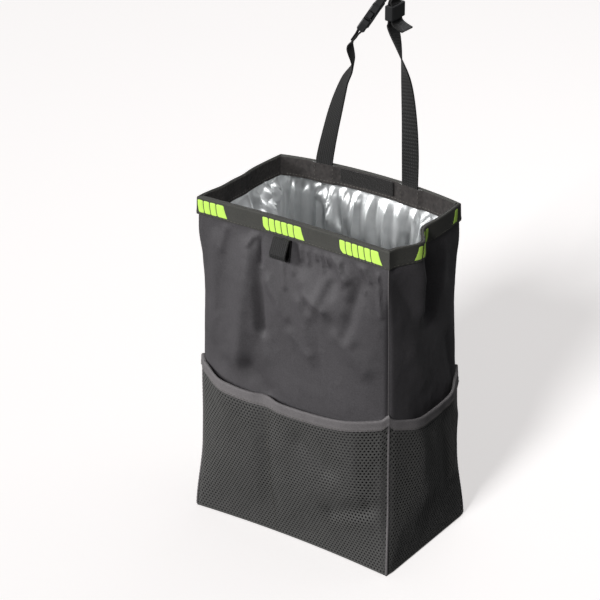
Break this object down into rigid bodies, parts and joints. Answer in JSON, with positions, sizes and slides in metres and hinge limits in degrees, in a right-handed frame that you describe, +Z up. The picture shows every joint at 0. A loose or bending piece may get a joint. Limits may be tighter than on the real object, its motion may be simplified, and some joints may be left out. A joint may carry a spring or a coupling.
{
  "type": "car trash bin",
  "caption": "Soft rectangular car trash bin with film lining, net pockets, stiffened rim with dash trim, loop tab and buckled hanging strap.",
  "frame": {"origin": "middle of the base, on the surface it stands on", "axes": "+Z up through the open mouth, +X to the right along the wide front, +Y to the back wall that carries the hanging strap"},
  "size_m": [0.277, 0.1984, 0.5931],
  "materials": {
    "outer_cloth": "plain-woven coated polyester, dull sheen",
    "film": "metallised film, soft gloss",
    "tape": "woven tape, fine rib",
    "bright_print": "bright yellow-green dashes woven into the tape",
    "facing": "black tape, matt",
    "stay": "extruded strip",
    "hook_and_loop": "brushed pile",
    "net": "warp-knitted net with small holes",
    "board": "pressed board",
    "webbing": "polypropylene webbing, cross rib",
    "buckle_plastic": "moulded acetal, satin"
  },
  "bodies": {
    "root": {"front_panel": "outer_cloth", "back_panel": "outer_cloth", "left_panel": "outer_cloth", "right_panel": "outer_cloth", "base_panel": "outer_cloth", "base_board": "board", "lining": "film", "band_front": "tape", "band_back": "tape", "band_left": "tape", "band_right": "tape", "band_dashes": "bright_print", "rim_facing": "facing", "stay_front": "stay", "stay_back": "stay", "hook_patch": "hook_and_loop", "loop_patch": "hook_and_loop", "pocket_front": "net", "pocket_left": "net", "pocket_right": "net", "binding_front": "tape", "binding_left": "tape", "binding_right": "tape", "loop_tab": "webbing", "strap_left": "webbing", "strap_right": "webbing", "buckle_socket": "buckle_plastic", "buckle_plug": "buckle_plastic", "strap_slider": "buckle_plastic"}
  },
  "joints": []
}
